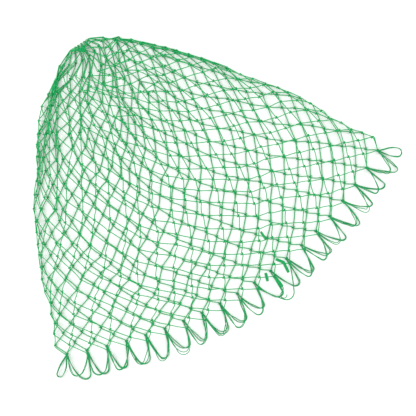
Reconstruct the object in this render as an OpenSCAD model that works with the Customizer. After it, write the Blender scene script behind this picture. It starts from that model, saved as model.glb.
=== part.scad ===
// Knotted net bag for a hoop landing net, lying flat with its mouth loops spread.
// Twine runs round the bag in courses. Each course is knotted into the one before it.

/* [Netting] */
// Number of meshes round the bag
meshes_round = 40; // [32:8:56]
// Rows of knots from the crown to the mouth
rows = 26; // [14:2:30]
// Length of one mesh bar, from knot to knot
bar_l = 20; // [16:1:30]
// Diameter of the netting twine
twine_d = 1.3; // [0.8:0.1:1.5]
// Half the angle between two bars at the mouth, which spreads the bag
mouth_angle = 47; // [35:1:55]

/* [Lay of the bag] */
// Length of the side edges, from the level of the crown to the mouth corners
side_l = 373; // [280:1:460]
// Height of the upper layer over the lower one
loft = 24; // [16:1:40]
// How far the bag's middle leans to the left half way down
lean = 17; // [0:1:40]
// Half the distance between the upper and the lower mouth rows
layer_slip = 5; // [0:1:8]

/* [Mouth loops] */
// Length of a mouth loop past its knots
loop_l = 36; // [28:1:46]
// Diameter of the doubled twine in a mouth loop
loop_d = 2; // [1.6:0.1:2.4]
// Diameter of a knot in the mouth row
mouth_knot_d = 3.4; // [3:0.1:4]
// Radius of the loops' rounded tips at the left corner
tip_r_left = 7.5; // [5:0.5:8]
// Radius of the loops' rounded tips at the right corner
tip_r_right = 4.5; // [3:0.5:6]

/* [Crown] */
// Radius of the ring that gathers the crown
crown_ring_r = 7; // [6.5:0.5:12]
// Diameter of the ring's cord
crown_cord_d = 3; // [2:0.1:4]

/* [Joining and mending] */
// Length of the lashed knot that joins the ends of the mouth row
joining_knot_l = 16; // [10:1:20]
// Diameter of that knot
joining_knot_d = 4.6; // [4:0.1:6]
// Length of the spare strand's bow past the mouth row
strand_l = 42; // [36:1:50]
// Length of the mending knot in the upper layer
mending_knot_l = 13; // [10:1:16]

/* [Hidden] */

$fn = 36;
bar_sides = 6;
knot_sides = 8;
first_knot_r = 0.9;                   // knots of the two rows nearest the crown
fit_gap = 0.3;                        // between pieces that bear on each other
fold_gap = first_knot_r + fit_gap / 2; // each layer's share of the gap at the bag's sides
arcs_round = 8;                       // lengths of twine in one course
arc_meshes = meshes_round / arcs_round;
first_course = 3;                     // the crown strands take up the rows before it
courses_per_node = 2;
course_nodes = ceil((rows - first_course + 1) / courses_per_node);
half_loops = meshes_round / 2 - 1;    // loops along one layer of the mouth
twine_r = twine_d / 2;
loop_r = loop_d / 2;
mouth_knot_r = mouth_knot_d / 2;
strand_inset = loop_r + 0.25;         // each leg of a loop from the middle of its knot
strand_tip_r = 14;                    // roundness of the spare strand's bow
floor_z = mouth_knot_r;               // height of the lower layer's knots
edge_rise = 3;                        // height of the fold at the bag's sides
neck = 9;                             // radius of the closed end round the crown
crown_slip = 12.5;                    // how far the crown sits in from the bag's end
crown_wrap = 1.5;
netting_l = rows * bar_l * 0.868;     // crown to mouth along the middle
mouth_half = meshes_round / 2 * bar_l * sin(mouth_angle);
mid_knot = meshes_round / 4;          // first upper knot right of the middle
joining_i = mid_knot + 1;             // knot of the mouth row that carries the joint
mending_row = rows - 4;

function numbered(k) = str(k < 10 ? "0" : "", k);
function unit(v) = v / norm(v);
function across(v, along) = unit(v - (v * along) * along);

// The bag as a surface: u goes once round it from the left edge over the upper layer,
// t is the distance from the crown.
function half_width(t) = mouth_half * pow(max(t - neck, 1) / (netting_l - neck), 0.75);
function row_pitch(t) = sqrt(max(bar_l * bar_l - pow(2 * half_width(t) / meshes_round, 2), bar_l));
row_t = [for (j = 0, t = 0; j <= rows; t = j == 0 ? bar_l : t + row_pitch(t + bar_l / 2), j = j + 1) t];
function flat_wave(u) = u < 0.5 ? 4 * u - 1 : 3 - 4 * u;
function round_share(t) = exp(-t / 160);
function cross_pos(u, t) = round_share(t) * -cos(360 * u) + (1 - round_share(t)) * flat_wave(u);
function slip(c, t) = layer_slip * (1 - 0.6 * c * t / netting_l)
    + (crown_slip - layer_slip) * exp(-(t - bar_l) / 60);
function edge_y(t) = -side_l * pow(half_width(t) / mouth_half, 1.7);
function lean_x(t) = -lean * sin(180 * pow(min(t / netting_l, 1), 0.6));
function bag_x(c, t) = half_width(t) * c + lean_x(t);
function bag_y(u, c, t) = edge_y(t) - slip(c, t) * sin(360 * u)
    + (crown_wrap - t - edge_y(t)) * pow(max(1 - c * c, 0), 1 - 0.5 * exp(-t / 60));
function upper_z(c, t) = floor_z + edge_rise + fold_gap
    + (loft * (1 - exp(-t / 50)) - edge_rise - fold_gap) * pow(max(1 - c * c, 0), 0.6);
function lower_z(c) = floor_z + (edge_rise - fold_gap) * pow(abs(c), 8);
function layer(u) = u < 0.5 ? 1 : -1;
function on_bag(u, c, t, side) = [bag_x(c, t), bag_y(u, c, t), side > 0 ? upper_z(c, t) : lower_z(c)];
function place_on(u, t, side) = on_bag(u, cross_pos(u, t), t, side);
function loose_place(u, t) = place_on(u, t, layer(u));

// Knots and the bights that hang from them
function row_offset(j) = (rows - j) % 2 == 0 ? 0.5 : 0;
function turn_part(u) = u - floor(u);
function knot_turn(j, i) = turn_part((i + row_offset(j)) / meshes_round);
function loose_knot(j, i) = loose_place(knot_turn(j, i), row_t[j]);
function knot_at(j, i) = loose_knot(j, i) + origin_shift;
function knot_on(j, i, side) = place_on(knot_turn(j, i), row_t[j], side) + origin_shift;
function left_of(j, i) = row_offset(j) > 0 ? i : i - 1;     // neighbour in the next row either way
function knot_room(j) =
    j < first_course ? first_knot_r + fit_gap
    : j == rows ? mouth_knot_r + fit_gap
    : fit_gap / 2;
function fork_l(j) = twine_r * bar_l * meshes_round / 2 / half_width(row_t[j]);
function between(j, i) = (knot_at(j, i) + knot_at(j, i + 1)) / 2;
function fork_above(j, i) = unit(between(j - 1, left_of(j, i)) - knot_at(j, i));
function fork_below(j, i) = unit(knot_at(j, i) - between(j + 1, left_of(j, i)));

// The plane of a mouth loop between two knots of the last row
function outward(a, b, side) = side * cross(unit([b.x - a.x, b.y - a.y, 0]), [0, 0, 1]);
function loop_droop(c) = -8 * (1 - c * c);
function loop_way(a, b, side, c) = across(outward(a, b, side) * cos(side > 0 ? loop_droop(c) : 0)
    + [0, 0, side > 0 ? sin(loop_droop(c)) : 0], unit(b - a));
function middle_cross(i) = flat_wave(turn_part((i + 1) / meshes_round));
function loop_length(i) = loop_l + 2 * sin(97 * i);
function tip_radius(c) = tip_r_left + (tip_r_right - tip_r_left) * (c + 1) / 2;
function loop_side(i) = i < meshes_round / 2 ? 1 : -1;
function loose_tip(i) = (loose_knot(rows, i) + loose_knot(rows, i + 1)) / 2 + loop_length(i)
    * loop_way(loose_knot(rows, i), loose_knot(rows, i + 1), loop_side(i), middle_cross(i));
corner_turn = 53;                     // side loops, from straight out of the mouth
function corner_way(side) = [side * sin(corner_turn), -cos(corner_turn), 0];
function loose_corner(i, side) = loose_knot(rows, i) + loop_l * corner_way(side);

// The origin is the middle of the bag's box, on the surface it lies on.
tips = [for (i = [0 : meshes_round - 1]) if ((i + 1) % (meshes_round / 2) != 0) loose_tip(i)];
box_left = loose_corner(0, -1).x;
box_right = loose_corner(meshes_round / 2, 1).x;
box_front = min([for (p = tips) p.y]);
box_back = max(
    loose_place(0, bar_l).y + first_knot_r,
    crown_wrap - crown_slip + crown_ring_r + crown_cord_d / 2
);
origin_shift = [-(box_left + box_right) / 2, -(box_front + box_back) / 2, 0];

crown_z = loose_place(0.25, bar_l).z;
crown = [lean_x(bar_l), crown_wrap - crown_slip, crown_z] + origin_shift;
crown_knot_r = crown_ring_r - crown_cord_d / 2 - fit_gap;
crown_strands_round = meshes_round / 2;
strand_start = crown_cord_d / 2 + twine_r + fit_gap;

function joint_end(side) = knot_at(rows, joining_i + side);
joint_way = loop_way(joint_end(-1), joint_end(1), 1, 0);
joint_knot = knot_at(rows, joining_i);
mending_knot_r = 1.6;
mending_spot = knot_at(mending_row, mid_knot + 2) + [0, 0, twine_r + fit_gap + mending_knot_r];

// Route of the twine's loose tail, out of the joining knot
tail_points = [
    [47.1, -224.3, 22.9], [47.1, -227, 22.5], [45.5, -229.5, 22], [43, -231, 21.5], [40.5, -232, 21],
    [38.5, -234, 20.5], [37.5, -236.5, 20], [38, -239, 19.5], [40, -241, 19.5],
    [42.5, -241.5, 19.5], [45, -240.5, 19.5], [46.5, -238.5, 19.5]
];
tube_sides = 8;

module rod(p, q, r) {
    v = q - p;
    translate(p) rotate([0, acos(v.z / norm(v)), atan2(v.y, v.x)]) cylinder(h = norm(v), r = r);
}

// The four corners of a course's twine where it turns at p, with its fork along the mesh.
// side is 1 on the upper layer and -1 on the lower one, where the course runs back.
function turn_corners(p, fork, reach, side) = [
    for (c = [[1, 1], [-1, 1], [-1, -1], [1, -1]]) p + fork * reach * c[0] + [0, 0, side * twine_r * c[1]]
];
function lower_turn(j, i, side) = turn_corners(
    knot_on(j, i, side) + fork_above(j, i) * (fork_l(j) + knot_room(j)), fork_above(j, i), fork_l(j), side);
function upper_turn(j, i, side) = turn_corners(
    knot_on(j - 1, i, side) - fork_below(j - 1, i) * (fork_l(j) + knot_room(j - 1)),
    fork_below(j - 1, i), fork_l(j), side);
// Of the two rows that a course joins, one has a knot on the fold and the other has not
function whole_turn(j, i, side) = row_offset(j) > 0 ? upper_turn(j, i, side) : lower_turn(j, i, side);
function half_turn(j, i, side) = row_offset(j) > 0 ? lower_turn(j, i, side) : upper_turn(j, i, side);
function at_fold(i) = i % (meshes_round / 2) == 0;
function shifted(points, v) = [for (p = points) p + v];

// One length of a course: a zigzag of bars between the turns at two rows of knots
module arc(j, a) {
    first = a * arc_meshes;
    next = first + arc_meshes;
    side = a < arcs_round / 2 ? 1 : -1;
    end_gap = at_fold(next) ? [0, 0, 0] : -fit_gap * unit(knot_at(j, next - 1) - knot_at(j, next - 2));
    points = [
        for (i = [first : next - 1]) each concat(whole_turn(j, i, side), half_turn(j, i, side)),
        each shifted(whole_turn(j, next, side), end_gap)
    ];
    turns = len(points) / 4;
    sides = [
        for (n = [0 : turns - 2], k = [0 : 3]) let (m = (k + 1) % 4)
            [4 * n + k, 4 * n + 4 + k, 4 * n + 4 + m, 4 * n + m]
    ];
    polyhedron(points, concat([[0, 1, 2, 3]], sides, [[for (k = [0 : 3]) 4 * turns - 1 - k]]));
}

module netting(c) {
    first = first_course + (c - 1) * courses_per_node;
    color("seagreen")
    for (j = [first : min(first + courses_per_node - 1, rows)]) {
        for (a = [0 : arcs_round - 1]) arc(j, a);
    }
}

module mouth_knots() {
    color("seagreen")
    for (i = [0 : meshes_round - 1]) translate(knot_at(rows, i)) sphere(r = mouth_knot_r);
}

// A bar of the crown, six-sided and rolled about its own line
module bar(p, q, roll) {
    v = q - p;
    translate(p) rotate([0, acos(v.z / norm(v)), atan2(v.y, v.x)])
        rotate([0, 0, roll]) cylinder(h = norm(v), r = twine_r, $fn = bar_sides);
}

module crown_bead(p) {
    translate([p.x, p.y, p.z - first_knot_r])
        cylinder(h = 2 * first_knot_r, r = first_knot_r, $fn = knot_sides);
}

// Two meshes drawn shut between the ring and the first open row
module crown_strand(n) {
    j = first_course - 1;
    u = (n + 0.5) / crown_strands_round;
    on_ring = crown + crown_ring_r * [-cos(360 * u), -sin(360 * u), 0];
    bend = loose_place(u, bar_l) + origin_shift;
    bar(on_ring + strand_start * unit(bend - on_ring), bend, 0);
    crown_bead(bend);
    for (k = [0, 1]) {
        bar(bend, knot_at(j, 2 * n + k), 30 * k);
        crown_bead(knot_at(j, 2 * n + k));
    }
}

module crown_strands() {
    color("seagreen")
    for (n = [0 : crown_strands_round - 1]) crown_strand(n);
}

module crown_ring() {
    color("darkgreen")
    translate(crown) rotate_extrude() translate([crown_ring_r, 0]) circle(d = crown_cord_d);
}

module crown_knot() {
    color("darkgreen") translate(crown) sphere(r = crown_knot_r);
}

// A loop in its own plane: two legs that lean in to a rounded tip, from the knots a and b
module loop_between(a, b, way, length, tip_r, cord_r, apart) {
    along = unit(b - a);
    face = cross(along, way);
    mid = (a + b) / 2;
    half = norm(b - a) / 2 - apart;
    start = mouth_knot_r + fit_gap;
    centre = length - tip_r - cord_r;
    leg_lean = atan2(half, centre - start) - asin(tip_r / norm([half, centre - start]));
    touch = [tip_r * cos(leg_lean), centre + tip_r * sin(leg_lean)];
    into_tip = 0.3 * [-sin(leg_lean), cos(leg_lean)];
    multmatrix([
        [along.x, way.x, face.x, mid.x],
        [along.y, way.y, face.y, mid.y],
        [along.z, way.z, face.z, mid.z],
        [0, 0, 0, 1]
    ]) {
        for (s = [-1, 1]) {
            rod([s * half, start, 0], [s * (touch.x + into_tip.x), touch.y + into_tip.y, 0], cord_r);
        }
        translate([0, centre, 0]) rotate([0, 0, leg_lean])
            rotate_extrude(angle = 180 - 2 * leg_lean) translate([tip_r, 0]) circle(r = cord_r * 1.05);
    }
}

module mouth_loop(i) {
    a = knot_at(rows, i);
    b = knot_at(rows, i + 1);
    c = middle_cross(i);
    way = loop_way(a, b, loop_side(i), c);
    color("mediumseagreen")
    loop_between(a, b, way, loop_length(i), tip_radius(c), loop_r, strand_inset);
}

// The upper layer's loops, leaving out the two that the joint takes the place of
module upper_loop(k) {
    mouth_loop(k - 1 < joining_i - 1 ? k - 1 : k + 1);
}

module lower_loop(k) {
    mouth_loop(meshes_round / 2 + k - 1);
}

module side_loop(lower_i, upper_i, side) {
    a = knot_at(rows, lower_i);
    b = knot_at(rows, upper_i);
    way = across(corner_way(side), unit(b - a));
    tip_r = norm(b - a) / 2 - strand_inset;
    color("mediumseagreen")
    loop_between(a, b, way, loop_l, tip_r, loop_r, strand_inset);
}

module joining_strand() {
    color("mediumseagreen")
    loop_between(joint_end(-1), joint_end(1), joint_way, strand_l, strand_tip_r, twine_r, strand_inset);
}

// Lashing: turns of twine side by side over a core
module lashing(length, d) {
    turns = floor(length / twine_d);
    rotate_extrude() {
        square([d / 2 - twine_r, turns * twine_d]);
        for (n = [0 : turns - 1]) {
            translate([d / 2 - twine_r, (n + 0.5) * twine_d]) circle(r = twine_r * 1.04);
        }
    }
}

module joining_knot() {
    start = joint_knot + joint_way * (mouth_knot_r + fit_gap + 0.2);
    color("seagreen")
    translate(start) rotate([0, acos(joint_way.z), atan2(joint_way.y, joint_way.x)])
        lashing(joining_knot_l, joining_knot_d);
}

module mending_knot() {
    color("seagreen")
    translate(mending_spot + [0, mending_knot_l / 2, 0]) rotate([90, 0, 0])
        lashing(mending_knot_l, 2 * mending_knot_r);
}

// A round tube along a route, with one ring at each of its points
function heading(route, n) = unit(route[min(n + 1, len(route) - 1)] - route[max(n - 1, 0)]);
function tube_ring(route, n, r) = let (
    sideways = unit(cross(heading(route, n), [0, 0, 1])),
    upwards = cross(sideways, heading(route, n))
) [for (k = [0 : tube_sides - 1]) let (turn = 360 * k / tube_sides)
    route[n] + r * (cos(turn) * sideways + sin(turn) * upwards)];

module tube(route, r) {
    last = len(route) - 1;
    sides = [
        for (n = [0 : last - 1], k = [0 : tube_sides - 1])
            let (m = (k + 1) % tube_sides, ring = n * tube_sides)
            [ring + k, ring + m, ring + tube_sides + m, ring + tube_sides + k]
    ];
    start = [for (k = [0 : tube_sides - 1]) tube_sides - 1 - k];
    end = [for (k = [0 : tube_sides - 1]) last * tube_sides + k];
    polyhedron([for (n = [0 : last]) each tube_ring(route, n, r)], concat([start], sides, [end]));
}

module tail() {
    color("seagreen") tube(tail_points, twine_r);
}

crown_ring();
crown_knot();
crown_strands();
for (c = [1 : course_nodes]) {
    netting(c);
}
mouth_knots();
for (k = [1 : half_loops - 2]) {
    upper_loop(k);
}
for (k = [1 : half_loops]) {
    lower_loop(k);
}
side_loop(meshes_round - 1, 0, -1);  // side_loop_left
side_loop(half_loops + 1, half_loops, 1);  // side_loop_right
joining_strand();
joining_knot();
tail();
mending_knot();
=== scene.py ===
import math
import bpy
import numpy as np
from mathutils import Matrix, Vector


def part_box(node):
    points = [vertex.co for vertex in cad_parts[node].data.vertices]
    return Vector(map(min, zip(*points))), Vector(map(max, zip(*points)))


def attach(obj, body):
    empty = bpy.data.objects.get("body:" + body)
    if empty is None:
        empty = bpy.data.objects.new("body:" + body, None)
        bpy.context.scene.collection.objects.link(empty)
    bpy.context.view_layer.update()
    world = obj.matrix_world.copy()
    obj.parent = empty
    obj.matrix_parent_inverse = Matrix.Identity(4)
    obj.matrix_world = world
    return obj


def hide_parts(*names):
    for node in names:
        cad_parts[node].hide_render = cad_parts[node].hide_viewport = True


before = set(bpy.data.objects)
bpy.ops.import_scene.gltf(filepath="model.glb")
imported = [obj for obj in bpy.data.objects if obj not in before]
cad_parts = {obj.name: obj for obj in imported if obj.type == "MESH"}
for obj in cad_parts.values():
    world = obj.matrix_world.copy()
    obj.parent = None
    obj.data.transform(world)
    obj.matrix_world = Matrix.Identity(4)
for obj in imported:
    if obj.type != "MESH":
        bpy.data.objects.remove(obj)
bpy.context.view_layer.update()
scene = bpy.context.scene
scene.view_settings.view_transform = "Standard"
print("frame loaded")

cameraValues = {
    "lens": 135.0, "sensor": 36.0,
    "across": 0.624,  # width seen at the height looked at
    "lookAt": (0.0187, -0.0659, 0.012), "roll": 33.3, "farthest": 20.0,
}
halfView = math.atan(cameraValues["sensor"] / 2 / cameraValues["lens"])
lookX, lookY, lookZ = cameraValues["lookAt"]
cameraData = bpy.data.cameras.new("camera")
cameraData.lens = cameraValues["lens"]
cameraData.clip_end = cameraValues["farthest"]
camera = bpy.data.objects.new("camera", cameraData)
camera.location = (lookX, lookY, lookZ + cameraValues["across"] / 2 / math.tan(halfView))
camera.rotation_euler = (0.0, 0.0, -math.radians(cameraValues["roll"]))
scene.collection.objects.link(camera)
scene.camera = camera


# A socket that can be used in sums: an expression on values adds its Math nodes.
class Wire:
    def __init__(self, sheet, socket):
        self.sheet, self.socket = sheet, socket

    def maths(self, operation, first, second=None):
        values = {0: first} if second is None else {0: first, 1: second}
        return self.sheet.add("ShaderNodeMath", {"operation": operation}, values)["Value"]

    def __add__(self, other):
        return self.maths("ADD", self, other)

    def __radd__(self, other):
        return self.maths("ADD", other, self)

    def __sub__(self, other):
        return self.maths("SUBTRACT", self, other)

    def __rsub__(self, other):
        return self.maths("SUBTRACT", other, self)

    def __mul__(self, other):
        return self.maths("MULTIPLY", self, other)

    def __rmul__(self, other):
        return self.maths("MULTIPLY", other, self)

    def __pow__(self, other):
        return self.maths("POWER", self, other)

    def sine(self):
        return self.maths("SINE", self)


# The nodes of one material, all added with one method.
class ShaderSheet:
    def __init__(self, name):
        self.material = bpy.data.materials.new(name)
        self.material.use_nodes = True
        self.tree = self.material.node_tree
        self.tree.nodes.clear()

    def add(self, kind, settings=None, inputs=None):
        node = self.tree.nodes.new(kind)
        for key, value in (settings or {}).items():
            setattr(node, key, value)
        for key, value in (inputs or {}).items():
            if isinstance(value, Wire):
                self.tree.links.new(value.socket, node.inputs[key])
            else:
                node.inputs[key].default_value = value
        return {out.name: Wire(self, out) for out in node.outputs if out.enabled}

    def colourMix(self, share, first, second):
        self.add("ShaderNodeMix", {"data_type": "RGBA"})
        node = self.tree.nodes[-1]
        for slot, value in ((0, share), (6, first), (7, second)):
            if isinstance(value, Wire):
                self.tree.links.new(value.socket, node.inputs[slot])
            else:
                node.inputs[slot].default_value = value
        return Wire(self, node.outputs[2])


yarn = {
    "fibreAlong": 900.0, "fibreRound": 14.0,    # fibres to a metre of length, and to one way round
    "patches": 38.0, "wear": 260.0,             # scales of the uneven dye and of the worn spots
    "roughness": 0.58, "fibreRoughness": 0.14,
    "bump": 0.85, "fibreBump": 0.25,
    "sheen": 0.04, "sheenRoughness": 0.4, "specular": 0.25,
}


def twineMaterial(name, light, deep, strands, turns, relief, gloss):
    # Twisted yarn: the stripe is the sine of strands times the way round plus turns times the length. The
    # grooves between the stripes take the darker colour as painted shade, mixed with noise for the twine's
    # own uneven dye and fibres.
    sheet = ShaderSheet(name)
    uv = sheet.add("ShaderNodeUVMap", {"uv_map": "along"})["UV"]
    parts = sheet.add("ShaderNodeSeparateXYZ", None, {"Vector": uv})
    place = sheet.add("ShaderNodeTexCoord")["Object"]
    phase = parts["Y"] * (2 * math.pi * strands) + parts["X"] * (2 * math.pi * turns)
    ridge = phase.sine() * 0.5 + 0.5
    fibrePlace = sheet.add("ShaderNodeCombineXYZ", None, {
        "X": parts["X"] * yarn["fibreAlong"], "Y": parts["Y"] * yarn["fibreRound"]})["Vector"]
    fibre = sheet.add("ShaderNodeTexNoise", {"noise_dimensions": "2D"},
                      {"Vector": fibrePlace, "Scale": 1.0, "Detail": 3.0, "Roughness": 0.6})["Fac"]
    patch = sheet.add("ShaderNodeTexNoise", None,
                      {"Vector": place, "Scale": yarn["patches"], "Detail": 3.0, "Roughness": 0.55})["Fac"]
    worn = sheet.add("ShaderNodeTexNoise", None,
                     {"Vector": place, "Scale": yarn["wear"], "Detail": 2.0, "Roughness": 0.5})["Fac"]
    # Colour share: low in the twist's grooves, which is painted shade; the fibre and patch noise are the
    # twine's own uneven dye.
    share = ridge * 0.55 + fibre * 0.35 + patch * 0.55 - 0.25
    share = sheet.add("ShaderNodeClamp", None, {"Value": share})["Result"]
    colour = sheet.colourMix(share, deep, light)
    pale = tuple(min(1.0, c * 1.25 + 0.012) for c in light[:3]) + (1.0,)  # fibres rubbed up on the ridges
    frayed = sheet.add("ShaderNodeMapRange", None, {
        "Value": worn * ridge, "From Min": 0.5, "From Max": 0.72, "To Min": 0.0, "To Max": 0.6})["Result"]
    colour = sheet.colourMix(frayed, colour, pale)
    rough = yarn["roughness"] - gloss * ridge + fibre * yarn["fibreRoughness"]
    height = (ridge ** 0.6) + fibre * yarn["fibreBump"]
    bump = sheet.add("ShaderNodeBump", None,
                     {"Strength": yarn["bump"], "Distance": relief, "Height": height})["Normal"]
    skin = sheet.add("ShaderNodeBsdfPrincipled", None, {
        "Base Color": colour, "Roughness": rough, "Normal": bump,
        "Sheen Weight": yarn["sheen"], "Sheen Roughness": yarn["sheenRoughness"],
        "Specular IOR Level": yarn["specular"]})["BSDF"]
    sheet.add("ShaderNodeOutputMaterial", None, {"Surface": skin})
    return sheet.material


finishes = {
    # The second colour of each finish is the painted shade of the twist's grooves, and the darker side of its
    # uneven dye.
    "netTwine": {"light": (0.006, 0.50, 0.135, 1.0), "deep": (0.002, 0.27, 0.072, 1.0),
                 "strands": 3, "turns": 210.0, "relief": 0.00022, "gloss": 0.20},
    "loopTwine": {"light": (0.007, 0.44, 0.125, 1.0), "deep": (0.003, 0.19, 0.060, 1.0),
                  "strands": 3, "turns": 230.0, "relief": 0.00020, "gloss": 0.22},
    "crownCord": {"light": (0.006, 0.46, 0.12, 1.0), "deep": (0.002, 0.22, 0.060, 1.0),
                  "strands": 3, "turns": 120.0, "relief": 0.00035, "gloss": 0.16},
}
netFinish, loopFinish, crownFinish = (
    twineMaterial(name, **finishes[name]) for name in ("netTwine", "loopTwine", "crownCord"))


def plainMaterial(name, colour, roughness):
    sheet = ShaderSheet(name)
    place = sheet.add("ShaderNodeTexCoord")["Object"]
    grain = sheet.add("ShaderNodeTexNoise", None, {"Vector": place, "Scale": 3.0, "Detail": 2.0})["Fac"]
    tone = sheet.colourMix(grain, colour, tuple(c * 0.985 for c in colour[:3]) + (1.0,))
    skin = sheet.add("ShaderNodeBsdfPrincipled", None, {"Base Color": tone, "Roughness": roughness})["BSDF"]
    sheet.add("ShaderNodeOutputMaterial", None, {"Surface": skin})
    return sheet.material


def addLight(name, place, size, power):
    # A round lamp that faces the middle of the bag.
    data = bpy.data.lights.new(name, "AREA")
    data.shape = "DISK"
    data.size, data.energy = size, power
    lamp = bpy.data.objects.new(name, data)
    lamp.location = place
    way = -np.array(place)
    flat = math.hypot(way[0], way[1])
    lamp.rotation_euler = (math.atan2(flat, -way[2]), 0.0, math.atan2(way[0], -way[1]) + math.pi)
    scene.collection.objects.link(lamp)


worldStrength = 0.97
lightValues = {
    "keyLight": {"place": (-0.9, 0.9, 1.7), "size": 1.3, "power": 19.3},
    "fillLight": {"place": (1.2, -0.8, 1.4), "size": 1.6, "power": 9.0},
}
world = bpy.data.worlds.new("studio")
world.use_nodes = True
world.node_tree.nodes["Background"].inputs["Color"].default_value = (1.0, 1.0, 1.0, 1.0)
world.node_tree.nodes["Background"].inputs["Strength"].default_value = worldStrength
scene.world = world
for name, values in lightValues.items():
    addLight(name, **values)

floorValues = {"reach": 8, "height": -0.0002, "colour": (0.93, 0.93, 0.93, 1.0), "roughness": 0.9}
reach = floorValues["reach"]
floorData = bpy.data.meshes.new("floor")
floorData.from_pydata([(-reach, -reach, 0), (reach, -reach, 0), (reach, reach, 0), (-reach, reach, 0)],
                      [], [(0, 1, 2, 3)])
floorData.materials.append(plainMaterial("paleFloor", floorValues["colour"], floorValues["roughness"]))
floor = bpy.data.objects.new("floor", floorData)
floor.location.z = floorValues["height"]
scene.collection.objects.link(floor)
print("camera, light and floor placed")


def unit(v):
    return v / np.maximum(np.linalg.norm(v, axis=-1, keepdims=True), 1e-12)


def headings(path, closed):
    # Direction at each point: from the point before it to the point after it.
    if closed:
        return unit(np.roll(path, -1, axis=-2) - np.roll(path, 1, axis=-2))
    ahead = np.concatenate([path[..., 1:, :], path[..., -1:, :]], axis=-2)
    behind = np.concatenate([path[..., :1, :], path[..., :-1, :]], axis=-2)
    return unit(ahead - behind)


def carriedSides(way, closed):
    # A side vector carried along the path: each is the last one made square to the new direction.
    side = np.empty_like(way)
    start = np.where(np.abs(way[:, 0, 2:3]) < 0.8, np.array([0.0, 0.0, 1.0]), np.array([1.0, 0.0, 0.0]))
    side[:, 0] = unit(np.cross(way[:, 0], start))
    for n in range(1, way.shape[1]):
        last = side[:, n - 1]
        side[:, n] = unit(last - np.sum(last * way[:, n], -1, keepdims=True) * way[:, n])
    if closed:  # share the turn left at the join over the whole length
        last = side[:, -1]
        back = unit(last - np.sum(last * way[:, 0], -1, keepdims=True) * way[:, 0])
        third = np.cross(way[:, 0], side[:, 0])
        left = np.arctan2(np.sum(back * third, -1), np.sum(back * side[:, 0], -1))
        turn = -left[:, None] * np.linspace(0, 1, way.shape[1])[None]
        other = np.cross(way, side)
        side = side * np.cos(turn)[..., None] + other * np.sin(turn)[..., None]
    return side


def tubeMesh(name, paths, radius, sides, closed, material):
    # Surface: point at (n, k) is path n plus radius times cos and sin of the way round, k of sides.
    paths = np.asarray(paths, float)
    if paths.ndim == 2:
        paths = paths[None]
    many, count = paths.shape[:2]
    way = headings(paths, closed)
    side = carriedSides(way, closed)
    other = np.cross(way, side)
    turn = 2 * np.pi * np.arange(sides) / sides
    ring = (side[:, :, None] * np.cos(turn)[None, None, :, None]
            + other[:, :, None] * np.sin(turn)[None, None, :, None])
    points = paths[:, :, None] + radius * ring
    lengths = np.linalg.norm(np.diff(paths, axis=1, append=paths[:, :1]), axis=2)
    reach = np.concatenate([np.zeros((many, 1)), np.cumsum(lengths, axis=1)], axis=1)

    spans = count if closed else count - 1
    t, n, k = np.meshgrid(np.arange(many), np.arange(spans), np.arange(sides), indexing="ij")
    n2, k2 = (n + 1) % count, (k + 1) % sides
    at = lambda a, b: (t * count + a) * sides + b
    quads = np.stack([at(n, k), at(n, k2), at(n2, k2), at(n2, k)], -1).reshape(-1, 4)
    reachAt = lambda a: np.take_along_axis(reach, a.reshape(many, -1), 1).reshape(a.shape)
    share = lambda a, b: np.stack([reachAt(a), b / sides], -1)
    uvs = np.stack([share(n, k), share(n, k + 1), share(n + 1, k + 1), share(n + 1, k)], -2).reshape(-1, 2)
    loops = quads.reshape(-1)
    starts = np.arange(len(quads)) * 4
    totals = np.full(len(quads), 4)
    if not closed:  # a cap on each end
        base = np.arange(many)[:, None] * count * sides
        first = base + np.arange(sides)[None, ::-1]
        last = base + (count - 1) * sides + np.arange(sides)[None]
        caps = np.concatenate([first, last])
        starts = np.concatenate([starts, len(loops) + np.arange(len(caps)) * sides])
        totals = np.concatenate([totals, np.full(len(caps), sides)])
        loops = np.concatenate([loops, caps.reshape(-1)])
        uvs = np.concatenate([uvs, np.zeros((caps.size, 2))])
    mesh = bpy.data.meshes.new(name)
    flat = points.reshape(-1, 3)
    mesh.vertices.add(len(flat))
    mesh.vertices.foreach_set("co", flat.astype(np.float32).ravel())
    mesh.loops.add(len(loops))
    mesh.loops.foreach_set("vertex_index", loops.astype(np.int32))
    mesh.polygons.add(len(starts))
    mesh.polygons.foreach_set("loop_start", starts.astype(np.int32))
    mesh.polygons.foreach_set("loop_total", totals.astype(np.int32))
    mesh.polygons.foreach_set("use_smooth", np.ones(len(starts), bool))
    layer = mesh.uv_layers.new(name="along")
    layer.data.foreach_set("uv", uvs.astype(np.float32).ravel())
    mesh.update(calc_edges=True)
    mesh.validate()
    mesh.materials.append(material)
    return mesh


def joinMeshes(name, meshes):
    made = []
    for mesh in meshes:
        part = bpy.data.objects.new(name, mesh)
        scene.collection.objects.link(part)
        made.append(part)
    if len(made) > 1:
        with bpy.context.temp_override(active_object=made[0], selected_editable_objects=made):
            bpy.ops.object.join()
    made[0].name = name
    return made[0]


def finishPiece(name, meshes, body, nodes):
    piece = joinMeshes(name, meshes)
    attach(piece, body)
    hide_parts(*nodes)
    return piece


def smoothPath(points, steps):
    # Catmull-Rom curve through the points, steps pieces between each two.
    p = np.asarray(points, float)
    p = np.concatenate([2 * p[:1] - p[1:2], p, 2 * p[-1:] - p[-2:-1]])
    s = np.linspace(0, 1, steps, endpoint=False)[None, :, None]
    a, b, c, d = p[:-3, None], p[1:-2, None], p[2:-1, None], p[3:, None]
    curve = 0.5 * (2 * b + (c - a) * s + (2 * a - 5 * b + 4 * c - d) * s ** 2
                   + (3 * b - a - 3 * c + d) * s ** 3)
    return np.concatenate([curve.reshape(-1, 3), p[-2:-1]])


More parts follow.
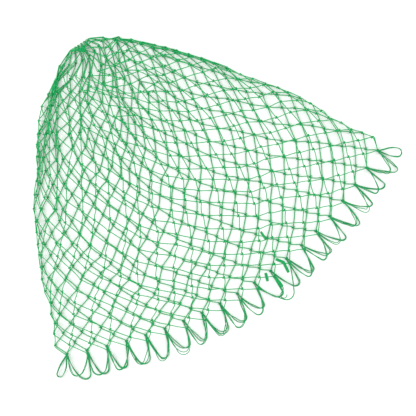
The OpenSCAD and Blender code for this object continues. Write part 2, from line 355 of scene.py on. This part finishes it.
bag = {
    "meshes": 40, "rows": 26, "bar": 0.020, "mouthAngle": 47.0, "sideLength": 0.373, "loft": 0.024,
    "lean": 0.017, "mouthSlip": 0.005, "crownSlip": 0.018, "crownWrap": 0.0015, "neck": 0.009,
    "edgeRise": 0.003, "foldGap": 0.00105, "knotRadius": 0.0017,
    "rowShare": 0.868,                      # of a bar's length, from one row to the next
    "widening": 0.75, "sideCurve": 1.7,     # powers of the width and of the side's outline
    "leanCurve": 0.6, "edgeCurve": 8, "openCurve": 0.6,
    "roundReach": 0.160, "slipReach": 0.060, "loftReach": 0.050,  # how fast each dies away from the crown
}
lay = {
    "foldRound": 0.13,      # how softly the netting turns at the bag's sides
    "foldRoundReach": 0.10,
    "twist": 4,             # meshes that the netting turns by evenly from the crown to the mouth
    "crownTwist": 6,        # meshes more that it turns by close to the crown
    "crownTwistReach": 0.050,
    "drift": 0.0024, "unevenness": 0.00025, "slack": 0.0003,
    "creaseEnd": 0.012,     # over which a crease dies away past its ends
}
# Slow waves of the lay: how many to one way round, and to the length
driftWaves = [(3, 1.0), (5, -1.7), (7, 2.3), (4, 3.1), (9, -2.6), (11, 1.9), (6, -3.9), (13, 4.4)]
# Lines that the netting is drawn towards: ends, width, share of the way, and layer (0 for both)
creases = [
    {"start": (-0.022, 0.176), "end": (0.025, 0.124), "width": 0.013, "pull": 0.65, "side": 1},
    {"start": (-0.106, 0.156), "end": (-0.172, 0.056), "width": 0.014, "pull": 0.6, "side": 0},
    {"start": (-0.016, 0.232), "end": (-0.066, 0.212), "width": 0.012, "pull": 0.6, "side": 1},
    {"start": (-0.056, 0.230), "end": (-0.120, 0.165), "width": 0.016, "pull": 0.65, "side": 0},
    {"start": (0.036, 0.236), "end": (0.160, 0.099), "width": 0.014, "pull": 0.55, "side": 0},
]
# The bag widens: meshes round it up to each row
increases = [(3, 20), (6, 30), (26, 40)]
meshes, rows, bar = bag["meshes"], bag["rows"], bag["bar"]
nettingLength = rows * bar * bag["rowShare"]
mouthHalf = meshes / 2 * bar * math.sin(math.radians(bag["mouthAngle"]))


def halfWidth(t):
    # Half the flat width grows with a power of the distance from the crown.
    return mouthHalf * (np.maximum(t - bag["neck"], 0.001) / (nettingLength - bag["neck"])) ** bag["widening"]


def rowPitch(t):
    # The other side of the mesh's triangle: the bar is the long side, half a mesh's width the short one.
    return math.sqrt(max(bar * bar - (2 * halfWidth(t) / meshes) ** 2, bar * 0.001))


rowAt = [0.0, bar]
for row in range(2, rows + 1):
    rowAt.append(rowAt[-1] + rowPitch(rowAt[-1] + bar / 2))
rowAt = np.array(rowAt)


def towardsMouth(t, start):
    # 0 up to the start, and from there in a straight line to 1 at the mouth.
    return np.clip((t - start) / (rowAt[rows] - start), 0, 1)


def looseBag(u, t):
    # u goes once round from the left edge over the upper layer, t is the distance from the crown.
    u, t = np.broadcast_arrays(np.mod(np.asarray(u, float), 1.0), np.asarray(t, float))
    wave = np.where(u < 0.5, 4 * u - 1, 3 - 4 * u)
    soft = lay["foldRound"] * np.clip((rowAt[rows] - t) / lay["foldRoundReach"], 0, 1) + 1e-6
    fromFold = 1 - np.abs(wave)
    fromFold = (np.sqrt(fromFold ** 2 + soft ** 2) - soft) / (np.sqrt(1 + soft ** 2) - soft)
    roundShare = np.exp(-t / bag["roundReach"])
    c = roundShare * -np.cos(2 * np.pi * u) + (1 - roundShare) * np.sign(wave) * (1 - fromFold)
    wide, far = halfWidth(t), t / nettingLength
    openness = np.clip(1 - c * c, 0, 1)
    x = wide * c - bag["lean"] * np.sin(np.pi * np.minimum(far, 1) ** bag["leanCurve"])
    edge = -bag["sideLength"] * (wide / mouthHalf) ** bag["sideCurve"]
    crownShare = np.exp(-(t - bar) / bag["slipReach"])
    slip = bag["mouthSlip"] * (1 - 0.6 * c * far) + (bag["crownSlip"] - bag["mouthSlip"]) * crownShare
    belly = openness ** (1 - 0.5 * np.exp(-t / bag["slipReach"]))
    y = edge - slip * np.sin(2 * np.pi * u) + (bag["crownWrap"] - t - edge) * belly
    low = bag["edgeRise"] + bag["foldGap"]
    height = bag["loft"] * (1 - np.exp(-t / bag["loftReach"])) - low
    upper = bag["knotRadius"] + low + height * openness ** bag["openCurve"]
    lower = bag["knotRadius"] + (bag["edgeRise"] - bag["foldGap"]) * np.abs(c) ** bag["edgeCurve"]
    return np.stack([x, y, np.where(u < 0.5, upper, lower)], -1)


def offset(j):
    # Every other row stands half a mesh on.
    return 0.5 if (rows - j) % 2 == 0 else 0.0


mouthLow, mouthHigh = (np.array(corner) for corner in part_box("mouth_knots"))
looseMouth = looseBag((np.arange(meshes) + 0.5) / meshes, rowAt[rows])
shift = np.array([(mouthLow + mouthHigh)[0] / 2 - (looseMouth[:, 0].max() + looseMouth[:, 0].min()) / 2,
                  mouthLow[1] + bag["knotRadius"] - looseMouth[:, 1].min(), 0.0])


def drift(u, t, seed):
    # Slow change of the lay: a sum of sines that dies away at the mouth and the crown.
    phases = np.random.default_rng(seed).uniform(0, 2 * np.pi, len(driftWaves))
    total = sum(np.sin(2 * np.pi * (turns * u + lengths * t / nettingLength) + phase)
                for (turns, lengths), phase in zip(driftWaves, phases))
    fade = np.clip((t - 0.03) / 0.06, 0, 1) * np.clip((rowAt[rows] - t) / 0.05, 0, 1)
    return total * fade / 2.2


def drawTogether(place, u, crease):
    # Each point moves a share of its distance to the line, less with distance from it.
    start, end = np.array(crease["start"]), np.array(crease["end"])
    way = (end - start) / np.linalg.norm(end - start)
    fromStart = place[:, :2] - start
    along = fromStart @ way
    past = np.maximum(np.maximum(-along, along - np.linalg.norm(end - start)), 0)
    off = fromStart - along[:, None] * way
    away = np.linalg.norm(off, axis=1)
    share = crease["pull"] * np.exp(-(away / crease["width"]) ** 2 - (past / lay["creaseEnd"]) ** 2)
    if crease["side"]:
        share = share * ((u % 1.0 < 0.5) == (crease["side"] > 0))
    place[:, :2] -= share[:, None] * off
    return place


def twistAt(t):
    # Even share of the twist, and a share that dies away from the crown, in turns of the bag.
    away = towardsMouth(t, rowAt[2])
    close = math.exp(-max(t - rowAt[2], 0) / lay["crownTwistReach"]) * (1 - away)
    return (lay["twist"] * (1 - away) + lay["crownTwist"] * close) / meshes


def meshesAt(j):
    return next(count for last, count in increases if j <= last)


def rowTurn(j):
    # Where a row's knots stand round the bag, before the twist.
    return (np.arange(meshesAt(j)) + offset(j)) / meshesAt(j)


def rowKnots(j):
    t = rowAt[j]
    u = rowTurn(j) - twistAt(t)
    place = looseBag(u, t) + shift
    if 2 < j < rows:
        uneven = np.random.default_rng(100 + j).normal(0, lay["unevenness"], (len(u), 2))
        place[:, 0] += lay["drift"] * drift(u, t, 1) + uneven[:, 0]
        place[:, 1] += lay["drift"] * drift(u, t, 2) + uneven[:, 1]
        for crease in creases:
            place = drawTogether(place, u, crease)
    return place


knots = [rowKnots(j) for j in range(rows + 1)]


def knotFrames(j):
    # At each knot: along the row, down the mesh towards the mouth, and out of the layer.
    t, reach = rowAt[j], bar / 2
    after, before = min(t + reach, rowAt[rows]), max(t - reach, bar)
    u = rowTurn(j)
    down = unit(looseBag(u - twistAt(after), after) - looseBag(u - twistAt(before), before))
    along = unit(np.roll(knots[j], -1, 0) - np.roll(knots[j], 1, 0))
    face = unit(np.cross(down, along))
    return unit(np.cross(face, down)), down, face


twine = {
    "radius": 0.00070, "sides": 6, "barPoints": 3,
    "fullKnot": 0.009, "smallestKnot": 0.6,  # meshes narrower than this pull their knots smaller
}
# The new twine of a course in its knot, in twine radii: along the row, down the mesh, out of the layer
wrapShape = np.array([
    (-1.5, 3.4, -0.9), (-0.4, 1.6, -1.5), (0.2, 0.1, 0.5), (-1.3, -0.9, 2.0), (-3.0, -1.2, 0.2),
    (-1.9, -1.5, -1.9), (1.9, -1.5, -1.9), (3.1, -1.0, 0.2), (1.7, 0.2, 2.0), (0.6, 1.5, 1.9),
    (1.6, 3.4, 0.9)])
# The old twine's bight through it
bightShape = np.array([
    (-1.5, -3.2, 0.0), (-1.2, -0.6, 0.0), (-0.9, 1.5, 0.1), (0.9, 1.5, -0.1), (1.2, -0.6, 0.0),
    (1.5, -3.2, 0.0)])


def placeShape(shape, j, picks, scale):
    # The shape at each picked knot of a row, each size times its length along, down and out.
    along, down, face = knotFrames(j)
    size = np.asarray(scale)[..., None, None]
    local = shape[None] * size
    return (knots[j][picks][:, None] + local[..., 0:1] * along[picks][:, None]
            + local[..., 1:2] * down[picks][:, None] + local[..., 2:3] * face[picks][:, None])


def barPath(start, end, seed):
    # A bar with a little slack: sine bow of random size, sideways and up or down.
    source = np.random.default_rng(seed)
    s = (np.arange(twine["barPoints"]) + 1) / (twine["barPoints"] + 1)
    flat = end - start
    sideways = unit(np.cross(flat, np.array([0.0, 0.0, 1.0])))
    bow = source.normal(0, lay["slack"], (len(start), 1, 1))
    rise = np.abs(source.normal(0, lay["slack"] * 0.3, (len(start), 1, 1)))
    arch = np.sin(np.pi * s)[None, :, None]
    path = start[:, None] + flat[:, None] * s[None, :, None] + sideways[:, None] * bow * arch
    path[..., 2:3] += rise * arch
    return path


def coursePath(j):
    # Once round the bag: a knot on the row above, a bar, a bight in the row below, and a bar.
    count, above = meshesAt(j), meshesAt(j - 1)
    n = np.arange(count)
    parents = np.round((n + offset(j) - 0.5) / count * above - offset(j - 1) + 1e-6).astype(int) % above
    meshWidth = 4 * halfWidth(rowAt[j - 1]) / above
    size = twine["radius"] * np.clip(meshWidth / twine["fullKnot"], twine["smallestKnot"], 1.0)
    wraps = placeShape(wrapShape, j - 1, parents, np.full(count, size))
    bights = placeShape(bightShape, j, n, np.full(count, size))
    barsDown = barPath(wraps[:, -1], bights[:, 0], 300 + j)
    barsUp = barPath(bights[:, -1], np.roll(wraps[:, 0], -1, 0), 400 + j)
    return np.concatenate([wraps, barsDown, bights, barsUp], axis=1).reshape(-1, 3)


crown = {
    "ringRadius": 0.0030, "cordRadius": 0.0009, "knotRadius": 0.0023, "knotTwine": 0.0005,
    "strand": 0.00052, "apart": 0.00055,  # a strand's radius, and how far each leg is from the middle
}
ringLow, ringHigh = (np.array(corner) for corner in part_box("crown_ring"))
crownAt = (ringLow + ringHigh) / 2


def ringBights(u):
    # Each strand takes half a turn round the ring's cord.
    turn = np.radians(np.array([-75, -120, -180, -240, -300, -340]))
    reach = crown["cordRadius"] + crown["strand"] * 0.75
    across = crown["ringRadius"] + reach * np.cos(turn)
    rise = reach * np.sin(turn)
    angle = 2 * np.pi * u[:, None] + np.linspace(-0.04, 0.04, len(turn))[None]
    return crownAt + np.stack([-np.cos(angle) * across, -np.sin(angle) * across,
                               np.broadcast_to(rise, angle.shape)], -1)


def crownTwines():
    # For each knot of the second row: round the ring, over the bend, through the knot, and back.
    count = meshesAt(2)
    u = rowTurn(2) - twistAt(rowAt[1])
    ring = ringBights(u)
    bend = looseBag(u, rowAt[1]) + shift
    flow = unit(bend - ring[:, 0])
    sideways = unit(np.cross(flow, np.array([0.0, 0.0, 1.0])))
    bights = placeShape(bightShape, 2, np.arange(count), np.full(count, twine["radius"]))
    leftFirst = np.sum((bights[:, 0] - bights[:, -1]) * sideways, -1, keepdims=True) > 0
    apart = sideways * crown["apart"] * np.where(leftFirst, 1, -1)
    steps = np.array([0.35, 0.7])[None, :, None]
    out = ring[:, -1:] + (bend + apart - ring[:, -1])[:, None] * steps
    back = (bend - apart)[:, None] + (ring[:, 0] - bend + apart)[:, None] * (1 - steps[:, ::-1])
    return np.concatenate([ring, out, (bend + apart)[:, None], bights, (bend - apart)[:, None], back], axis=1)


def ropeRing(values):
    # A torus whose section has three lobes that twist as it goes round.
    around, over = 160, 18
    a = 2 * np.pi * np.arange(around) / around
    b = 2 * np.pi * np.arange(over) / over
    a, b = np.meshgrid(a, b, indexing="ij")
    r = values["cordRadius"] * (0.93 + 0.07 * np.cos(3 * b + 14 * a))
    points = crownAt + np.stack([(values["ringRadius"] + r * np.cos(b)) * np.cos(a),
                                 (values["ringRadius"] + r * np.cos(b)) * np.sin(a), r * np.sin(b)], -1)
    i, k = np.meshgrid(np.arange(around), np.arange(over), indexing="ij")
    at = lambda p, q: (p % around) * over + q % over
    quads = np.stack([at(i, k), at(i + 1, k), at(i + 1, k + 1), at(i, k + 1)], -1).reshape(-1, 4)
    mesh = bpy.data.meshes.new("crownRing")
    mesh.from_pydata(points.reshape(-1, 3).tolist(), [], quads.tolist())
    length = 2 * np.pi * values["ringRadius"]
    share = lambda p, q: np.stack([p / around * length, q / over], -1)
    uvs = np.stack([share(i, k), share(i + 1, k), share(i + 1, k + 1), share(i, k + 1)], -2).reshape(-1, 2)
    mesh.uv_layers.new(name="along").data.foreach_set("uv", uvs.astype(np.float32).ravel())
    mesh.polygons.foreach_set("use_smooth", np.ones(len(quads), bool))
    mesh.materials.append(crownFinish)
    return mesh


def ballKnot(values):
    # A closed cord woven over a ball: latitude swings seven times while it goes five times round.
    s = np.linspace(0, 2 * np.pi, 420, endpoint=False)
    latitude = 1.18 * np.sin(7 * s)
    longitude = 5 * s
    reach = values["knotRadius"] - values["knotTwine"] * (1.35 - 0.35 * np.cos(14 * s + 0.6))
    path = crownAt + np.stack([reach * np.cos(latitude) * np.cos(longitude),
                               reach * np.cos(latitude) * np.sin(longitude), reach * np.sin(latitude)], -1)
    return tubeMesh("crownKnot", path, values["knotTwine"], 8, True, crownFinish)


def ballCore(values):
    # The middle of the knot: a ball with shallow ridges, closed at its poles.
    around, over = 28, 14
    a = 2 * np.pi * np.arange(around) / around
    b = np.pi * (np.arange(1, over) / over - 0.5)
    a, b = np.meshgrid(a, b, indexing="xy")
    pole = values["knotRadius"] - 1.6 * values["knotTwine"]
    r = pole * (1 + 0.03 * np.cos(7 * a + 5 * b))
    points = np.stack([r * np.cos(b) * np.cos(a), r * np.cos(b) * np.sin(a), r * np.sin(b)], -1)
    points = points.reshape(-1, 3)
    points = crownAt + np.concatenate([points, [(0, 0, -pole), (0, 0, pole)]])
    i, k = np.meshgrid(np.arange(over - 2), np.arange(around), indexing="ij")
    at = lambda p, q: p * around + q % around
    faces = np.stack([at(i, k), at(i, k + 1), at(i + 1, k + 1), at(i + 1, k)], -1).reshape(-1, 4).tolist()
    low, high, top = len(points) - 2, len(points) - 1, (over - 2) * around
    faces += [(low, (q + 1) % around, q) for q in range(around)]
    faces += [(high, top + q, top + (q + 1) % around) for q in range(around)]
    mesh = bpy.data.meshes.new("crownCore")
    mesh.from_pydata(points.tolist(), [], faces)
    mesh.uv_layers.new(name="along")
    mesh.polygons.foreach_set("use_smooth", np.ones(len(faces), bool))
    mesh.materials.append(crownFinish)
    return mesh


finishPiece("crownRing", [ropeRing(crown)], "netting", ["crown_ring"])
finishPiece("crownKnot", [ballKnot(crown), ballCore(crown)], "netting", ["crown_knot"])
print("crown made")

finishPiece("crownStrands", [
    tubeMesh("crownStrands", crownTwines(), crown["strand"], twine["sides"], True, netFinish),
], "netting", ["crown_strands"])

coursesPerPiece, firstCourse = 2, 3
for number in range(1, 13):
    first = firstCourse + (number - 1) * coursesPerPiece
    name = f"netting{number:02d}"
    courses = [tubeMesh(name, coursePath(j), twine["radius"], twine["sides"], True, netFinish)
               for j in range(first, first + coursesPerPiece)]
    finishPiece(name, courses, "netting", [f"netting_{number:02d}"])
print("netting made")

mouthKnot = {
    "radius": 0.00062, "sides": 7,
    "scale": 0.00062, "spread": 0.85,  # size of its shape, and how far its two twines lie apart in it
}
mouthPaths = []
for lift in (-mouthKnot["spread"], mouthKnot["spread"]):
    shape = smoothPath(wrapShape[1:-1] + np.array([0.0, lift, 0.0]), 2)
    mouthPaths.append(placeShape(shape, rows, np.arange(meshes), np.full(meshes, mouthKnot["scale"])))
mouthMesh = tubeMesh("mouthKnots", np.concatenate(mouthPaths), mouthKnot["radius"], mouthKnot["sides"],
                     False, loopFinish)
finishPiece("mouthKnots", [mouthMesh], "netting", ["mouth_knots"])

loop = {
    "length": 0.036, "lengthVariety": 0.002, "upperShare": 0.90, "lowerShare": 1.10,
    "radius": 0.00061, "sides": 8, "points": 72,
    "tipLeft": 0.0085, "tipRight": 0.0050, "tipVariety": 0.30,
    "belly": 0.0024, "parting": 0.0024,
    "leaning": 0.0032, "upperLean": -0.0036, "lowerLean": -0.0044,
    "droop": -8.0,                        # degrees, of the upper loops in the middle of the mouth
    "corner": 53.0, "cornerTip": 0.0052,  # the side loops' turn outwards, in degrees, and their tip
}
spare = {"joint": 11, "length": 0.042, "tip": 0.014, "radius": 0.00088}


def outward(a, b, side):
    # Level, and square to the line between two knots.
    flat = unit(np.array([b[0] - a[0], b[1] - a[1], 0.0]))
    return side * np.cross(flat, np.array([0.0, 0.0, 1.0]))


def loopWay(a, b, side, c):
    # The way a loop lies from its knots; c is -1 at the left end of the mouth and 1 at the right.
    droop = math.radians(loop["droop"] * (1 - c * c)) if side > 0 else 0.0
    way = outward(a, b, side) * math.cos(droop) + np.array([0.0, 0.0, math.sin(droop)])
    along = unit(b - a)
    return unit(way - (way @ along) * along)


def loopCurve(half, length, tip, count, source, lean=0.0):
    # In the loop's own plane, by share of its length: a leg bowed outwards, a round tip and a leg back.
    centre = length - tip
    slope = math.atan2(half, centre) - math.asin(min(0.98, tip / math.hypot(half, centre)))
    touch = np.array([tip * math.cos(slope), centre + tip * math.sin(slope)])
    leg = np.linalg.norm(touch - np.array([half, 0.0]))
    arc = tip * (math.pi - 2 * slope)
    s = np.linspace(0, 2 * leg + arc, count)
    onLeft, onRight = s < leg, s > leg + arc
    x, y = np.empty(count), np.empty(count)
    share = np.clip(s / leg, 0, 1)
    x[onLeft] = (-half + (half - touch[0]) * share)[onLeft]
    y[onLeft] = (touch[1] * share)[onLeft]
    share = np.clip((s - leg - arc) / leg, 0, 1)
    x[onRight] = (touch[0] + (half - touch[0]) * share)[onRight]
    y[onRight] = (touch[1] * (1 - share))[onRight]
    middle = ~(onLeft | onRight)
    angle = math.pi - slope - (s[middle] - leg) / tip
    x[middle], y[middle] = tip * np.cos(angle), centre + tip * np.sin(angle)
    bows = loop["belly"] * source.uniform(0.2, 1.0, 2) * np.array([-1, 1])
    swell = np.sin(np.pi * np.clip(y / length, 0, 1))
    x = x + swell * np.where(x < 0, bows[0], bows[1]) * np.minimum(np.abs(x) / tip, 1)
    x = x + (lean + loop["leaning"] * source.uniform(-1, 1)) * (y / length) ** 1.6
    return x, y


def loopMeshes(name, a, b, way, length, tip, seed, single=None, turned=0.0, lean=0.0):
    # Two strands side by side that turn about each other along the loop and part here and there,
    # or one strand alone, of the radius given as single.
    source = np.random.default_rng(seed)
    tip = tip * (1 + loop["tipVariety"] * source.uniform(-1, 0.5))
    along = unit(b - a)
    face = np.cross(along, way)
    middle = (a + b) / 2
    half = np.linalg.norm(b - a) / 2 - loop["radius"]
    count = loop["points"]
    x, y = loopCurve(half, length, tip, count, source, lean)
    s = np.linspace(0, 1, count)
    lift = source.normal(0, 0.0004) * np.sin(np.pi * s) + source.normal(0, 0.0003) * np.sin(2 * np.pi * s)
    quarter = (turned * np.clip(y / length * 1.4, 0, 1))[:, None]  # a side loop turns flat as it goes out
    across = np.cos(quarter) * along + np.sin(quarter) * face
    line = middle + x[:, None] * across + y[:, None] * way + lift[:, None] * face
    if single:
        return [tubeMesh(name, line, single, loop["sides"], False, loopFinish)]
    flow = headings(line[None], False)[0]
    sideways = unit(np.cross(flow, face + 0.05 * along))
    turn = source.uniform(0, np.pi) + 2 * np.pi * source.uniform(0.5, 1.3) * s
    parting = loop["parting"] * source.uniform(0.0, 1.0) ** 1.5 * np.sin(np.pi * s) ** 2 * np.sin(
        np.pi * (source.uniform(0.6, 2.2) * s + source.uniform(0, 1))) ** 2
    reach = loop["radius"]
    apart = ((reach * np.cos(turn) + np.tanh(3 * np.cos(turn)) * parting)[:, None] * sideways
             + (reach * np.sin(turn))[:, None] * face)
    ends = np.clip(np.minimum(s, 1 - s) / 0.05, 0.35, 1)[:, None]
    return [tubeMesh(name, np.stack([line + apart * ends, line - apart * ends]),
                     loop["radius"], loop["sides"], False, loopFinish)]


mouthRow = knots[rows]
flatWave = lambda u: 4 * u - 1 if u < 0.5 else 3 - 4 * u
tipOf = lambda c: loop["tipLeft"] + (loop["tipRight"] - loop["tipLeft"]) * (c + 1) / 2


def lengthOf(i):
    # The layer's own length, with a sine of the loop's number so that no two neighbours are alike.
    share = loop["upperShare"] if i < meshes // 2 else loop["lowerShare"]
    return loop["length"] * share + loop["lengthVariety"] * math.sin(math.radians(97 * i))


def pieceName(node):
    # upper_loop_03 becomes upperLoop03
    first, *others = node.split("_")
    return first + "".join(word.capitalize() for word in others)


def mouthLoop(i, node):
    side = 1 if i < meshes // 2 else -1
    a, b = mouthRow[i], mouthRow[(i + 1) % meshes]
    c = flatWave(((i + 1) / meshes) % 1.0)
    made = loopMeshes(pieceName(node), a, b, loopWay(a, b, side, c), lengthOf(i), tipOf(c), 500 + i,
                      lean=loop["upperLean"] if side > 0 else loop["lowerLean"])
    finishPiece(pieceName(node), made, node, [node])


upperPicks = [i for i in range(meshes // 2 - 1) if i not in (spare["joint"] - 1, spare["joint"])]
for count, i in enumerate(upperPicks):
    mouthLoop(i, f"upper_loop_{count + 1:02d}")
for count in range(meshes // 2 - 1):
    mouthLoop(meshes // 2 + count, f"lower_loop_{count + 1:02d}")
for node, lower, upper, side in (("side_loop_left", meshes - 1, 0, -1),
                                 ("side_loop_right", meshes // 2, meshes // 2 - 1, 1)):
    a, b = mouthRow[lower], mouthRow[upper]
    turn = math.radians(loop["corner"])
    way = np.array([side * math.sin(turn), -math.cos(turn), 0.0])
    along = unit(b - a)
    way = unit(way - (way @ along) * along)
    made = loopMeshes(pieceName(node), a, b, way, loop["length"], loop["cornerTip"], 700 + upper,
                      turned=math.pi / 2)
    finishPiece(pieceName(node), made, node, [node])
a, b = mouthRow[spare["joint"] - 1], mouthRow[spare["joint"] + 1]
spareWay = loopWay(a, b, 1, 0.0)
finishPiece("joiningStrand", loopMeshes("joiningStrand", a, b, spareWay, spare["length"], spare["tip"], 801,
                                        single=spare["radius"]),
            "joining_strand", ["joining_strand"])
print("mouth loops made")


def lashing(name, start, way, length, coilRadius, radius, turnsRound, material):
    # Twine wound round a doubled core: a helix whose pitch is about the twine's own diameter.
    sideways = unit(np.cross(way, np.array([0.0, 0.0, 1.0])))
    upwards = np.cross(sideways, way)
    s = np.linspace(0, 1, turnsRound * 12 + 1)
    angle = 2 * np.pi * turnsRound * s
    swell = 1 + 0.07 * np.sin(np.pi * s) + 0.03 * np.sin(9 * s + 1.0)
    path = (start + way * (length * s)[:, None]
            + sideways * (coilRadius * swell * np.cos(angle))[:, None]
            + upwards * (coilRadius * swell * np.sin(angle))[:, None])
    coreOut, coreRadius = 0.0012, 0.55 * coilRadius  # the core stands out at both ends
    along = np.linspace(-coreOut, length + coreOut, 9)[:, None]
    cores = np.stack([start + way * along + sideways * (coreRadius * k) for k in (-1, 1)])
    return [tubeMesh(name, path, radius, 7, False, material),
            tubeMesh(name, cores, coreRadius, 8, False, material)]


joint = {
    "fromKnot": 0.0022, "length": 0.0156, "coil": 0.0019, "twine": 0.00068, "turns": 12,
    # The twine's other hitches, on the netting beside the joint: both ends of each
    "hitches": [((0.062, -0.186), (0.0685, -0.1955)), ((0.0685, -0.1955), (0.0665, -0.211)),
                ((0.037, -0.195), (0.0335, -0.205))],
    "hitchCoil": 0.9, "hitchLift": 0.0008, "hitchPitch": 2.1,
}
jointKnot = mouthRow[spare["joint"]]
joining = lashing("joiningKnot", jointKnot + spareWay * joint["fromKnot"], spareWay, joint["length"],
                  joint["coil"], joint["twine"], joint["turns"], netFinish)
for start, end in joint["hitches"]:
    start, end = (np.array([*place, jointKnot[2] + joint["hitchLift"]]) for place in (start, end))
    span = np.linalg.norm(end - start)
    joining += lashing("joiningKnot", start, (end - start) / span, span, joint["coil"] * joint["hitchCoil"],
                       joint["twine"], round(span / (joint["hitchPitch"] * joint["twine"])), netFinish)
finishPiece("joiningKnot", joining, "netting", ["joining_knot"])

mend = {"coil": 0.0013, "twine": 0.00066, "turns": 9, "inset": 0.0006}
mendLow, mendHigh = (np.array(corner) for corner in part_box("mending_knot"))
mendMiddle = (mendLow + mendHigh) / 2
mendStart = np.array([mendMiddle[0], mendHigh[1] - mend["inset"], mendMiddle[2]])
mendLength = mendHigh[1] - mendLow[1] - 2 * mend["inset"]
finishPiece("mendingKnot", lashing("mendingKnot", mendStart, np.array([0.0, -1.0, 0.0]), mendLength,
                                   mend["coil"], mend["twine"], mend["turns"], netFinish),
            "netting", ["mending_knot"])

tailRoute = np.array([
    (47.1, -224.3, 22.9), (47.1, -227, 22.5), (45.5, -229.5, 22), (43, -231, 21.5), (40.5, -232, 21),
    (38.5, -234, 20.5), (37.5, -236.5, 20), (38, -239, 19.5), (40, -241, 19.5), (42.5, -241.5, 19.5),
    (45, -240.5, 19.5), (46.5, -238.5, 19.5)]) / 1000
tailRadius = 0.00065
tailLine = smoothPath(tailRoute, 3)
tailMesh = tubeMesh("tail", tailLine, tailRadius, loop["sides"], False, loopFinish)
tail = finishPiece("tail", [tailMesh], "netting", ["tail"])
print("lashings and tail made")
